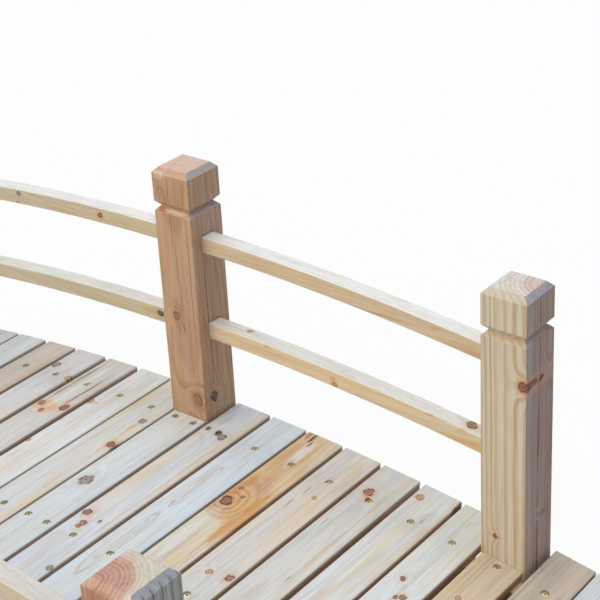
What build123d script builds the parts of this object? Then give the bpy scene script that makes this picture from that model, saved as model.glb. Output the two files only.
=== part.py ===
"""Small arched garden bridge of planks, with posts and curved rails, all of timber.

Millimetres. X runs along the walk, Y across it and Z up. The origin is on the ground
under the middle of the bridge, where the feet of the beams rest.
"""
import math
import os

from build123d import *

# The deck is an arc of planks laid across three beams.
deck_radius = 3361.0
deck_height = 127.3
deck_width = 668.0
planks_each_way = 12
plank_pitch = 60.0
plank_width = 54.0
plank_thickness = 14.0
plank_edge_ease = 0.8
plank_to_post_gap = 0.5

# Planks laid off the even pitch, by how much of the gap, counted from the crown.
plank_shifts = {
    -9: -0.4, -7: -0.8, -6: -0.6, -5: -0.2, -4: -0.1, -3: 0.3, -2: 0.75, -1: 0.35,
    3: -0.3, 4: -0.4, 5: -0.45, 6: -0.2, 7: -0.35, 9: 0.65,
}

# Each plank is screwed down into every beam through a sunk hole, drawn with flats to stay light.
screw_recess_diameter = 9.5
screw_recess_depth = 4.5
middle_plank_screw_spacing = 31.0

# The beams are sawn arcs whose undersides are cut level where they stand.
beam_thickness = 23.0
beam_depth = 65.0
last_plank_overhang = 6.0

# Square posts stand against the outer beams, at the crown and a few planks from it.
post_width = 58.8
posts_planks_apart = 8
plank_ends_past_posts = 0.6
post_above_deck = 348.5
post_cap_height = 45.4
post_groove_depth = 6.8
post_top_chamfer = 7.2
post_edge_ease = 0.4

# Two curved rails run from post to post, their ends let into mortises.
rail_thickness = 22.0
rail_depth = 21.0
rail_edge_ease = 0.5
upper_rail_above_deck = 259.0
lower_rail_above_deck = 137.0
mortise_depth = 21.0
mortise_end_gap = 1.0
mortise_side_gap = 0.5
mortise_top_gap = 1.5

# Sizes that follow from those above.
arc_centre_height = deck_height - deck_radius
plank_gap = plank_pitch - plank_width
post_inner_face = deck_width / 2 - plank_ends_past_posts - post_width
beam_top = -plank_thickness
beam_bottom = beam_top - beam_depth
beam_line = post_inner_face - beam_thickness / 2
beam_lines = {"side_beam_near": -beam_line, "centre_beam": 0.0, "side_beam_far": beam_line}
post_line = post_inner_face + post_width / 2
post_lines = {"near": -post_line, "far": post_line}
post_length = post_above_deck - beam_bottom
post_place = deck_radius * math.sin(posts_planks_apart * plank_pitch / deck_radius)
post_places = {"left": -post_place, "mid": 0.0, "right": post_place}
deck_end_angle = (planks_each_way * plank_pitch + plank_width / 2) / deck_radius
beam_end = deck_radius * math.sin(deck_end_angle) - last_plank_overhang

os.makedirs("parts", exist_ok=True)


def arc_height(x, above_deck):
    """Height above the ground, at x, of an arc that has the deck's centre."""
    return arc_centre_height + math.sqrt((deck_radius + above_deck) ** 2 - x**2)


def arc_band(x_low, x_high, bottom, top):
    """Face between two arcs of the deck's centre, with upright ends."""
    x_middle = (x_low + x_high) / 2
    with BuildLine() as outline:
        upper = ThreePointArc(*[(x, arc_height(x, top)) for x in (x_low, x_middle, x_high)])
        lower = ThreePointArc(*[(x, arc_height(x, bottom)) for x in (x_low, x_middle, x_high)])
        Line(lower @ 0, upper @ 0)
        Line(lower @ 1, upper @ 1)
    make_face(outline.edges())


def side_plane(y):
    """Upright plane along the bridge at y, in which X and Z are drawn."""
    return Plane.XZ.offset(-y)


def plank_place(index):
    """Distance along the deck, from the crown, of a plank's middle."""
    place = index * plank_pitch + plank_shifts.get(index, 0) * plank_gap
    for post_index, x in zip((-posts_planks_apart, 0, posts_planks_apart), post_places.values()):
        side = index - post_index
        if abs(side) != 1:
            continue
        # Beside a post, the plank's nearer arris stays clear of the post's face.
        face = x + side * (post_width / 2 + plank_to_post_gap)
        radius = deck_radius - (plank_thickness if face * side > 0 else 0)
        nearest = deck_radius * math.asin(face / radius) + side * plank_width / 2
        place = side * max(side * place, side * nearest)
    return place


def plank_top(index):
    """Plane on top of a plank's middle, with its Z square to the deck."""
    angle = plank_place(index) / deck_radius
    outward = Vector(math.sin(angle), 0, math.cos(angle))
    along = Vector(math.cos(angle), 0, -math.sin(angle))
    return Plane(Vector(0, 0, arc_centre_height) + outward * deck_radius, along, outward)


# Planks, numbered along the bridge. Those between two posts stop short of them.
for index in range(-planks_each_way, planks_each_way + 1):
    name = f"deck_plank_{index + planks_each_way + 1:02d}"
    between_posts = abs(index) in (0, posts_planks_apart)
    half_length = post_inner_face - plank_to_post_gap if between_posts else deck_width / 2
    screws_along = [-middle_plank_screw_spacing / 2, middle_plank_screw_spacing / 2]
    top = plank_top(index)
    with BuildPart() as plank:
        with BuildSketch(top.offset(-plank_thickness)):
            Rectangle(plank_width, 2 * half_length)
        extrude(amount=plank_thickness)
        chamfer(plank.edges().filter_by(Axis.Y), length=plank_edge_ease)
        with BuildSketch(top):
            with Locations(*[
                (x, y)
                for x in (screws_along if index == 0 else [0])
                for y in beam_lines.values()
            ]):
                RegularPolygon(screw_recess_diameter / 2, side_count=30)
        extrude(amount=-screw_recess_depth, mode=Mode.SUBTRACT)
    plank.part.label = name
    export_step(plank.part, f"parts/{name}.step")

# Beams, with level feet where the arc would run below the ground.
for name, y in beam_lines.items():
    with BuildPart() as beam:
        with BuildSketch(side_plane(y)):
            arc_band(-beam_end, beam_end, beam_bottom, beam_top)
        extrude(amount=beam_thickness / 2, both=True)
        split(bisect_by=Plane.XY, keep=Keep.TOP)
    beam.part.label = name
    export_step(beam.part, f"parts/{name}.step")

# Posts, with a chamfered top, a groove under the cap and a blind mortise for each rail end.
rail_tops = {"upper": upper_rail_above_deck, "lower": lower_rail_above_deck}
for side, y in post_lines.items():
    for column, x in post_places.items():
        name = f"post_{side}_{column}"
        top = arc_height(x, 0) + post_above_deck
        groove = top - post_cap_height - post_groove_depth
        with BuildPart() as post:
            with BuildSketch(Plane.XY.offset(top - post_length)):
                with Locations((x, y)):
                    Rectangle(post_width, post_width)
            extrude(amount=post_length)
            chamfer(post.faces().sort_by(Axis.Z)[-1].edges(), length=post_top_chamfer)
            chamfer(post.edges().filter_by(Axis.Z), length=post_edge_ease)
            # The groove is a square bar's corner, run across all four faces.
            bar = post_groove_depth * math.sqrt(2)
            for plane, centre in ((side_plane(y), x), (Plane.YZ.offset(x), y)):
                with BuildSketch(plane):
                    with Locations((centre - post_width / 2, groove), (centre + post_width / 2, groove)):
                        Rectangle(bar, bar, rotation=45)
                extrude(amount=post_width, both=True, mode=Mode.SUBTRACT)
            with BuildSketch(side_plane(y)):
                for rail_top in rail_tops.values():
                    for towards in (-1, 1):
                        if abs(x + towards * post_width) > post_place + post_width / 2:
                            continue
                        mouth = x + towards * post_width / 2
                        back = mouth - towards * mortise_depth
                        arc_band(
                            min(mouth, back), max(mouth, back),
                            rail_top - rail_depth, rail_top + mortise_top_gap,
                        )
            extrude(amount=rail_thickness / 2 + mortise_side_gap, both=True, mode=Mode.SUBTRACT)
        post.part.label = name
        export_step(post.part, f"parts/{name}.step")

# Rails, one to a bay, each end seated in its post's mortise.
tenon = mortise_depth - mortise_end_gap
bays = {"left": (-post_place, 0.0), "right": (0.0, post_place)}
for side, y in post_lines.items():
    for bay, (low_post, high_post) in bays.items():
        for level, rail_top in rail_tops.items():
            name = f"{level}_rail_{side}_{bay}"
            x_low = low_post + post_width / 2 - tenon
            x_high = high_post - post_width / 2 + tenon
            with BuildPart() as rail:
                with BuildSketch(side_plane(y)):
                    arc_band(x_low, x_high, rail_top - rail_depth, rail_top)
                extrude(amount=rail_thickness / 2, both=True)
                chamfer(rail.edges().filter_by(GeomType.CIRCLE), length=rail_edge_ease)
            rail.part.label = name
            export_step(rail.part, f"parts/{name}.step")
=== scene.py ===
"""Dresses the arched garden bridge: bare timber, its screws and bolts, a plain stage and the camera.

Lengths are metres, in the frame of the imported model: X along the walk, Y across it, Z up.
"""
import math
import random

import bpy
from bpy.props import FloatProperty, FloatVectorProperty, PointerProperty
from mathutils import Matrix, Vector


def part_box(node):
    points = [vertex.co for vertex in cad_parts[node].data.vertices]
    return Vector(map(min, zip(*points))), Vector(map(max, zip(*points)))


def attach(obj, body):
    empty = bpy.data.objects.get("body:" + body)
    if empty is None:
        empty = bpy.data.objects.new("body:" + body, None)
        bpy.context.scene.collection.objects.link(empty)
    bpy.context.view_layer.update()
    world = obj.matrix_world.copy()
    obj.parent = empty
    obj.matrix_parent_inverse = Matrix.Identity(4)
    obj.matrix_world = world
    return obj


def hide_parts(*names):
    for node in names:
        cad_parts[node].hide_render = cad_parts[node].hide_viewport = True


bl_info = {
    "name": "Garden Bridge Dressing",
    "version": (1, 0, 0),
    "blender": (4, 5, 0),
    "location": "View3D > Sidebar > Bridge",
    "description": "Gives an arched garden bridge its timber, fastenings, stage and camera",
    "category": "Object",
}

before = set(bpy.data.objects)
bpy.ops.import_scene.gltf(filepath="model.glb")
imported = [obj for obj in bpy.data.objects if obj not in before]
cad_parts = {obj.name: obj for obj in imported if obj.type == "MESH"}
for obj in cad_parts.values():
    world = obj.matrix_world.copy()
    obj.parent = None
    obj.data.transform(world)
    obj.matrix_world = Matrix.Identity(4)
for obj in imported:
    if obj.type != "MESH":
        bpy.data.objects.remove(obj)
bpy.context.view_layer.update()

MM = 0.001

# The deck's arc, on which the planks, screws and bolts are placed.
DECK_RADIUS = 3361 * MM
DECK_HEIGHT = 127.3 * MM
PLANK_THICKNESS = 14 * MM
RECESS_DEPTH = 4.5 * MM
MIDDLE_PLANK = "deck_plank_13"
MIDDLE_SCREW_SPACING = 31 * MM
SCREW_HEAD_THICKNESS = 2.6 * MM
SCREW_SEAT = 2.5 * MM
SCREW_SEAT_SPREAD = 0.6 * MM
SCREW_ROWS = {"near": -263.1 * MM, "centre": 0.0, "far": 263.1 * MM}
SCREW_SEED = 7
UPPER_RAIL_LINE = 248.5 * MM
LOWER_RAIL_LINE = 126.5 * MM

# Bolts through each outer beam and its posts: beside the post's middle, and below the deck.
BOLT_HEAD_HEIGHT = 1.2 * MM
BOLT_PLACES = ((-10 * MM, -33 * MM), (10 * MM, -62 * MM))
POST_OUTER_FACE = 333.4 * MM
BEAM_INNER_FACE = 251.6 * MM

# Screw and bolt heads: sides of the round, and how a bolt's dome steps in and up, as shares of
# its radius and of its diameter.
SCREW_SIDES = 16
BOLT_SIDES = 28
DOME_STEPS = ((0.16, 0.10), (0.2, 0.07), (0.26, 0.05), (0.3, 0.03))

# Washer, nut and bolt end: sides, radius as a share of the head, lower and upper height and rim.
NUT_STACK = (
    (28, 0.62, 0.0, 1.6 * MM, 0.3 * MM),
    (6, 0.44, 1.6 * MM, 6.8 * MM, 0.5 * MM),
    (20, 0.19, 6.8 * MM, 9.8 * MM, 0.6 * MM),
)

# Meshes: corners below these angles stay smooth or flat, and sharper ones are worn round.
TIMBER_SMOOTH_ANGLE = math.radians(13)
METAL_SMOOTH_ANGLE = math.radians(40)
COPLANAR_ANGLE = math.radians(0.05)
WEAR_ANGLE = math.radians(30)
MERGE_DISTANCE = 0.001 * MM

# The photograph's view: a long lens above the near right end, tipped a little to the right.
# It shows the lower left part of a larger picture, hence the shift.
CAMERA_PLACE = (1.2904, -1.0540, 1.2561)
CAMERA_TARGET = (0.4466, 0.0, 0.6390)
CAMERA_ROLL = math.radians(-2.845)
CAMERA_LENS = 98.10
CAMERA_SENSOR = 36.0
CAMERA_SHIFT = (-0.0248, -0.1489)

# The floor, and the share of plain white in it where it is seen directly, but for the shade
# under the deck.
FLOOR_SIZE = 40.0
FLOOR_WHITENESS = 0.96
SHADE_REACH = (0.74, 0.33)
SHADE_EDGE = 0.05
SKY_COLOUR = "f6f6fa"
WHITE = (1.0, 1.0, 1.0, 1.0)

# The lamps: the setting that holds the strength, place, colour and spread in degrees.
LAMPS = {
    "top_light": ((-0.3, -0.2, 3.0), "d6e4ff", 70),
    "front_light": ((-1.2, -2.6, 1.5), "ffdfae", 60),
}

# Directions in which the grain of a post, and of a rail or beam, runs along, across and through.
POST_AXES = ((0.0, 0.0, 1.0), (1.0, 0.0, 0.0), (0.0, 1.0, 0.0))
RAIL_AXES = ((1.0, 0.0, 0.0), (0.0, 0.0, 1.0), (0.0, -1.0, 0.0))

# Repeats a metre of the noise patterns, along, across and through the grain.
RING_WANDER = (2.2, 12.0, 12.0)
RING_ROUGHNESS = (9.0, 90.0, 90.0)
FINE_FIBRE = (24.0, 900.0, 900.0)
COARSE_FIBRE = (7.0, 210.0, 210.0)
COLOUR_DRIFT = (3.0, 34.0, 34.0)
KNOT_RAGGEDNESS = (120.0, 120.0, 120.0)
BARK_BREAKS = (150.0, 150.0, 150.0)
KNOT_MOTTLE = (420.0, 420.0, 420.0)
TORN_FIBRES = (90.0, 500.0, 500.0)
METAL_MOTTLE = (700.0, 700.0, 700.0)

# How far the growth rings stray from smooth circles, and how unevenly they are spaced.
RING_STRAY = 1.6 * MM
RING_SPACING_CHANGE = 1.8

# Shape of a knot: its flattening along the grain, rings a radius, and the bend of the grain.
KNOT_FLATTENING = (0.85, 1.0, 1.0)
HALO_FLATTENING = (0.7, 1.0, 1.0)
KNOT_RINGS = 2.6
SWIRL_FADE = -0.2
SWIRL_STRENGTH = 1.6

# Spreads the marks over the noise, so that no two share an outline.
MARK_SPREAD = (71.0, 113.0, 97.0)


def colour(code):
    """Linear colour with alpha from a screen colour written as six hex digits."""
    channels = [int(code[i:i + 2], 16) / 255 for i in (0, 2, 4)]
    linear = [c / 12.92 if c <= 0.04045 else ((c + 0.055) / 1.055) ** 2.4 for c in channels]
    return (*linear, 1.0)


def box_centre(node):
    """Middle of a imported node's box."""
    low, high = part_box(node)
    return (low + high) / 2


class BridgeSettings(bpy.types.PropertyGroup):
    """Sizes and colours of the bridge's finish."""

    edge_wear: FloatProperty(
        name="Edge wear", description="Radius of the worn edges of planks, posts and rails",
        default=0.35 * MM, min=0.0, unit="LENGTH",
    )
    screw_head: FloatProperty(
        name="Screw head", description="Diameter of a deck screw's head",
        default=8.5 * MM, min=0.001, unit="LENGTH",
    )
    bolt_head: FloatProperty(
        name="Bolt head", description="Diameter of a post bolt's domed head",
        default=16 * MM, min=0.001, unit="LENGTH",
    )
    brass_colour: FloatVectorProperty(
        name="Screws", description="Colour of the yellow plated screws",
        subtype="COLOR", size=4, min=0.0, max=1.0, default=colour("e8dcaa"),
    )
    zinc_colour: FloatVectorProperty(
        name="Bolts", description="Colour of the zinc plated bolts",
        subtype="COLOR", size=4, min=0.0, max=1.0, default=colour("b9bcc0"),
    )
    floor_colour: FloatVectorProperty(
        name="Floor", description="Colour of the studio floor",
        subtype="COLOR", size=4, min=0.0, max=1.0, default=colour("bdbcb9"),
    )
    sky_light: FloatProperty(
        name="Sky light", description="Strength of the even light from all round",
        default=0.34, min=0.0,
    )
    top_light: FloatProperty(
        name="Top light", description="Strength of the cool soft light from overhead",
        default=2.5, min=0.0,
    )
    front_light: FloatProperty(
        name="Front light", description="Strength of the warm soft light from the front left",
        default=1.35, min=0.0,
    )


# Node building.

# Sockets of the Mix node that carry a factor and colours, by number, and steps between nodes.
MIX_FACTOR = 0
MIX_COLOURS = (6, 7)
MIXED_COLOUR = 2
NODE_ROWS = 4
NODE_STEP = (220, -240)


def add_node(tree, kind, inputs=None, **settings):
    """Adds a shader node, sets its options, and links or fills the inputs given by name or number."""
    made = tree.nodes.new(kind)
    column, row = divmod(len(tree.nodes), NODE_ROWS)
    made.location = (NODE_STEP[0] * column, NODE_STEP[1] * row)
    for name, value in settings.items():
        setattr(made, name, value)
    for key, value in (inputs or {}).items():
        if isinstance(value, bpy.types.NodeSocket):
            tree.links.new(value, made.inputs[key])
        else:
            made.inputs[key].default_value = value
    return made


def maths(tree, operation, *values):
    """A Math node's result."""
    return add_node(tree, "ShaderNodeMath", dict(enumerate(values)), operation=operation).outputs[0]


def vectors(tree, operation, *values, output="Vector"):
    """A Vector Math node's result."""
    made = add_node(tree, "ShaderNodeVectorMath", dict(enumerate(values)), operation=operation)
    return made.outputs[output]


def scaled(tree, vector, by):
    """A vector times a value."""
    made = add_node(tree, "ShaderNodeVectorMath", {0: vector, "Scale": by}, operation="SCALE")
    return made.outputs["Vector"]


def step(tree, value, low, high):
    """Smooth change from 0 where value is low to 1 where it is high. low may be the larger."""
    inputs = {"Value": value, "From Min": low, "From Max": high}
    made = add_node(tree, "ShaderNodeMapRange", inputs, interpolation_type="SMOOTHSTEP")
    return made.outputs["Result"]


def noise(tree, vector, scale, detail=2.0, output="Fac"):
    """Noise on coordinates scaled along, across and through the grain."""
    inputs = {"Vector": vectors(tree, "MULTIPLY", vector, scale), "Scale": 1.0, "Detail": detail}
    return add_node(tree, "ShaderNodeTexNoise", inputs).outputs[output]


def mix(tree, factor, first, second, blend="MIX"):
    """Colour between two colours."""
    inputs = {MIX_FACTOR: factor, MIX_COLOURS[0]: first, MIX_COLOURS[1]: second}
    made = add_node(tree, "ShaderNodeMix", inputs, data_type="RGBA", blend_type=blend)
    return made.outputs[MIXED_COLOUR]


def new_group(name, inputs, outputs):
    """Empty node group with the named sockets, its input node and its output node."""
    tree = bpy.data.node_groups.new(name, "ShaderNodeTree")
    for socket, kind in inputs.items():
        tree.interface.new_socket(socket, in_out="INPUT", socket_type=f"NodeSocket{kind}")
    for socket in outputs:
        tree.interface.new_socket(socket, in_out="OUTPUT", socket_type="NodeSocketFloat")
    return tree, tree.nodes.new("NodeGroupInput").outputs, tree.nodes.new("NodeGroupOutput").inputs


def place_group(tree, name, inputs):
    """Outputs of a node group placed in a material with its own values."""
    group = bpy.data.node_groups[name]
    return add_node(tree, "ShaderNodeGroup", inputs, node_tree=group).outputs


def growth_rings_group():
    """Growth rings round a pith that runs along X, as a mask that is 1 in the dark late wood."""
    tree, given, result = new_group(
        "Growth rings",
        {"Vector": "Vector", "Place": "Vector", "Pith": "Vector", "Taper": "Vector",
         "Ring Width": "Float", "Wander": "Float", "Swirl": "Float"},
        ["Late Wood", "Radius"],
    )
    wander = noise(tree, given["Vector"], RING_WANDER, output="Color")
    wander = scaled(tree, vectors(tree, "SUBTRACT", wander, (0.5, 0.5, 0.5)), given["Wander"])
    along = add_node(tree, "ShaderNodeSeparateXYZ", {0: given["Place"]}).outputs["X"]
    taper = scaled(tree, given["Taper"], along)
    from_pith = vectors(tree, "SUBTRACT", given["Place"], given["Pith"])
    from_pith = vectors(tree, "ADD", from_pith, taper)
    from_pith = vectors(tree, "ADD", from_pith, wander)
    from_pith = vectors(tree, "MULTIPLY", from_pith, (0.0, 1.0, 1.0))
    radius = vectors(tree, "LENGTH", from_pith, output="Value")
    tree.links.new(radius, result["Radius"])
    rough = maths(tree, "SUBTRACT", noise(tree, given["Vector"], RING_ROUGHNESS), 0.5)
    radius = maths(tree, "ADD", radius, maths(tree, "MULTIPLY", rough, RING_STRAY))
    radius = maths(tree, "ADD", radius, given["Swirl"])
    count = maths(tree, "DIVIDE", radius, given["Ring Width"])
    uneven = add_node(tree, "ShaderNodeTexNoise", {"W": count, "Scale": 0.45}, noise_dimensions="1D")
    uneven = maths(tree, "MULTIPLY", uneven.outputs["Fac"], RING_SPACING_CHANGE)
    count = maths(tree, "ADD", count, uneven)
    year = maths(tree, "FRACT", count)
    rise = step(tree, year, 0.30, 0.88)
    fall = step(tree, year, 1.0, 0.90)
    whole = maths(tree, "FLOOR", count)
    each_year = add_node(tree, "ShaderNodeTexWhiteNoise", {"W": whole}, noise_dimensions="1D")
    strength = maths(tree, "MULTIPLY_ADD", each_year.outputs["Value"], 0.55, 0.45)
    late = maths(tree, "MULTIPLY", maths(tree, "MULTIPLY", rise, fall), strength)
    tree.links.new(late, result["Late Wood"])


def fibre_group():
    """Fine streaks along the grain, and broad clouds of warm and cool colour."""
    tree, given, result = new_group(
        "Fibre and drift", {"Vector": "Vector"}, ["Fine", "Coarse", "Warm", "Cool", "Pink"])
    fine = noise(tree, given["Vector"], FINE_FIBRE, detail=3.0)
    tree.links.new(step(tree, fine, 0.38, 0.72), result["Fine"])
    coarse = noise(tree, given["Vector"], COARSE_FIBRE, detail=3.0)
    tree.links.new(step(tree, coarse, 0.42, 0.72), result["Coarse"])
    drift = noise(tree, given["Vector"], COLOUR_DRIFT, detail=2.5, output="Color")
    parts = add_node(tree, "ShaderNodeSeparateColor", {0: drift}).outputs
    for channel, name in (("Red", "Warm"), ("Green", "Cool"), ("Blue", "Pink")):
        tree.links.new(step(tree, parts[channel], 0.47, 0.66), result[name])


def knot_group():
    """A knot whose branch runs through the timber, and the grain that bends round it."""
    tree, given, result = new_group(
        "Knot", {"Vector": "Vector", "Centre": "Vector", "Across": "Vector", "Radius": "Float"},
        ["Core", "Rim", "Halo", "Rings", "Swirl"],
    )
    away = vectors(tree, "SUBTRACT", given["Vector"], given["Centre"])
    ragged = noise(tree, given["Vector"], KNOT_RAGGEDNESS, detail=1.0, output="Color")
    ragged = scaled(tree, vectors(tree, "SUBTRACT", ragged, (0.5, 0.5, 0.5)), given["Radius"])
    away = vectors(tree, "ADD", away, ragged)
    away = vectors(tree, "MULTIPLY", away, given["Across"])
    away = vectors(tree, "MULTIPLY", away, KNOT_FLATTENING)
    reach = maths(tree, "DIVIDE", vectors(tree, "LENGTH", away, output="Value"), given["Radius"])
    tree.links.new(step(tree, reach, 1.05, 0.8), result["Core"])
    off_rim = maths(tree, "ABSOLUTE", maths(tree, "SUBTRACT", reach, 0.9))
    rim = step(tree, off_rim, 0.34, 0.06)
    broken = step(tree, noise(tree, given["Vector"], BARK_BREAKS), 0.32, 0.55)
    tree.links.new(maths(tree, "MULTIPLY", rim, broken), result["Rim"])
    long_away = vectors(tree, "MULTIPLY", away, HALO_FLATTENING)
    long_away = vectors(tree, "LENGTH", long_away, output="Value")
    long_reach = maths(tree, "DIVIDE", long_away, given["Radius"])
    tree.links.new(step(tree, long_reach, 2.1, 0.7), result["Halo"])
    rings = maths(tree, "FRACT", maths(tree, "MULTIPLY", reach, KNOT_RINGS))
    rings = step(tree, rings, 0.3, 0.9)
    heart = step(tree, reach, 0.4, 0.12)
    mottle = step(tree, noise(tree, given["Vector"], KNOT_MOTTLE), 0.42, 0.62)
    rings = maths(tree, "MAXIMUM", maths(tree, "MULTIPLY", rings, mottle), heart)
    tree.links.new(rings, result["Rings"])
    fade = maths(tree, "MULTIPLY", maths(tree, "POWER", reach, 2.0), SWIRL_FADE)
    swirl = maths(tree, "MULTIPLY", maths(tree, "EXPONENT", fade), given["Radius"])
    swirl = maths(tree, "MULTIPLY", swirl, SWIRL_STRENGTH)
    tree.links.new(swirl, result["Swirl"])


def mark_group():
    """A ragged mark: a soft stain, a streak along the grain, a crack or torn fibres."""
    tree, given, result = new_group(
        "Mark", {"Vector": "Vector", "Centre": "Vector", "Reach": "Vector"}, ["Mask", "Outline"])
    away = vectors(tree, "SUBTRACT", given["Vector"], given["Centre"])
    away = vectors(tree, "DIVIDE", away, given["Reach"])
    distance = vectors(tree, "LENGTH", away, output="Value")
    own = vectors(tree, "ADD", away, vectors(tree, "MULTIPLY", given["Centre"], MARK_SPREAD))
    wave = maths(tree, "MULTIPLY_ADD", noise(tree, own, (0.9, 0.9, 0.9)), 0.5, -0.25)
    off_line = maths(tree, "SUBTRACT", maths(tree, "ADD", distance, wave), 0.9)
    outline = step(tree, maths(tree, "ABSOLUTE", off_line), 0.14, 0.0)
    tree.links.new(outline, result["Outline"])
    cloud = noise(tree, own, (1.6, 1.3, 1.3), detail=3.0)
    distance = maths(tree, "ADD", distance, maths(tree, "MULTIPLY_ADD", cloud, 1.5, -0.75))
    torn = noise(tree, given["Vector"], TORN_FIBRES)
    distance = maths(tree, "ADD", distance, maths(tree, "MULTIPLY_ADD", torn, 0.6, -0.3))
    tree.links.new(step(tree, distance, 1.05, 0.35), result["Mask"])


def facing_group():
    """Masks of the faces that look a given way, with which light and shade are painted on the timber, and
    of the end grain.

    A slope looks up and along the bridge, and a brow up and to the near side.
    """
    tree, given, result = new_group(
        "Facing", {"Along": "Vector"}, ["Up", "Right", "Slope", "Brow", "Edges", "End"])
    normal = add_node(tree, "ShaderNodeNewGeometry").outputs["Normal"]
    parts = add_node(tree, "ShaderNodeSeparateXYZ", {0: normal}).outputs
    tree.links.new(step(tree, parts["Z"], 0.5, 0.9), result["Up"])
    tree.links.new(step(tree, parts["X"], 0.75, 0.95), result["Right"])
    rise = maths(tree, "MULTIPLY", step(tree, parts["X"], 0.35, 0.6), step(tree, parts["Z"], 0.35, 0.6))
    tree.links.new(rise, result["Slope"])
    ahead = maths(tree, "MULTIPLY", parts["Y"], -1.0)
    brow = maths(tree, "MULTIPLY", step(tree, ahead, 0.35, 0.6), step(tree, parts["Z"], 0.35, 0.6))
    tree.links.new(brow, result["Brow"])
    tree.links.new(step(tree, maths(tree, "ABSOLUTE", parts["X"]), 0.6, 0.9), result["Edges"])
    along = vectors(tree, "DOT_PRODUCT", normal, given["Along"], output="Value")
    tree.links.new(step(tree, maths(tree, "ABSOLUTE", along), 0.6, 0.95), result["End"])


# Colours that every piece of timber shares.
LATE_SHADE = (0.84, 0.72, 0.54)
COOL_TINT = colour("cbd1cf")
WARM_TINT = colour("e2c793")
PINK_TINT = colour("dcc8ba")
FIBRE_SHADE = colour("b3a08a")
END_SHADE = colour("c9ab8c")

# Height over a plank's middle at which the painted shade on its long edges begins, and is full.
EDGE_SHADE_TOP = 5.0 * MM
EDGE_SHADE_FULL = 1.5 * MM

# How much wider a knot shows than its sound heartwood, and how strongly its parts show.
KNOT_GROWTH = 1.12
KNOT_HALO = 0.45
KNOT_RING_SHADE = 0.7
KNOT_CORE = 0.85
KNOT_RIM = 0.9

# What dull patches do to metal.
DULL_METAL = (0.45, 0.45, 0.45)
DULL_ROUGHNESS = 0.25

# How strongly the streaks along the grain, and the end grain, darken the wood.
COARSE_SHADE = 0.19
FINE_SHADE = 0.2
END_GRAIN_SHADE = 0.2

# The wood's roughness, and how the late wood stands out and the fine fibres sink.
ROUGHNESS = 0.62
FIBRE_ROUGHNESS = 0.12
LATE_WOOD_RISE = 0.5
FIBRE_SINK = -0.6
RELIEF = 0.5 * MM
RELIEF_STRENGTH = 0.35

# Half the width of the soft edge between sapwood and heartwood.
HEART_EDGE = 1.5 * MM

# What a look holds where it says nothing else.
PLAIN_LOOK = dict(
    pith=(8.0, -70.0), taper=(0.0, 0.02), ring=4.4, wander=12.0, contrast=0.6, warm=0.22, cool=0.25,
    pink=0.12, knots=(), marks=(),
)

# Knots of each kind: heartwood of the branch, its bark and the resin round it.
KNOT_KINDS = {
    "faint": ("a17a5e", "80593f", "b0835f"),
    "brown": ("a1704b", "55341f", "dcb083"),
    "red": ("8f5838", "45281b", "d8a581"),
    "grey": ("968b80", "564a42", "c9beb0"),
    "tan": ("c29b73", "8a6546", "dfc4a0"),
    "dark": ("60483a", "2f2119", "b79a7e"),
}

# The planks' own numbers, and the first number of the other timbers, tell their patterns apart.
FIRST_POST = 31
FIRST_RAIL = 41
FIRST_BEAM = 51
SEED_STEP = (3.1, 1.7, 0.9)


def seed_of(number):
    """Offset that gives each piece its own stretch of the noise patterns."""
    return tuple(number * by for by in SEED_STEP)


def shaded(tone, shade):
    """A colour times a shade, channel by channel."""
    return tuple(channel * by for channel, by in zip(tone, (*shade, 1.0)))


def timber_groups():
    """Builds the node groups that all timber shares, once."""
    if "Growth rings" not in bpy.data.node_groups:
        for build in (growth_rings_group, fibre_group, knot_group, mark_group, facing_group):
            build()


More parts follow.
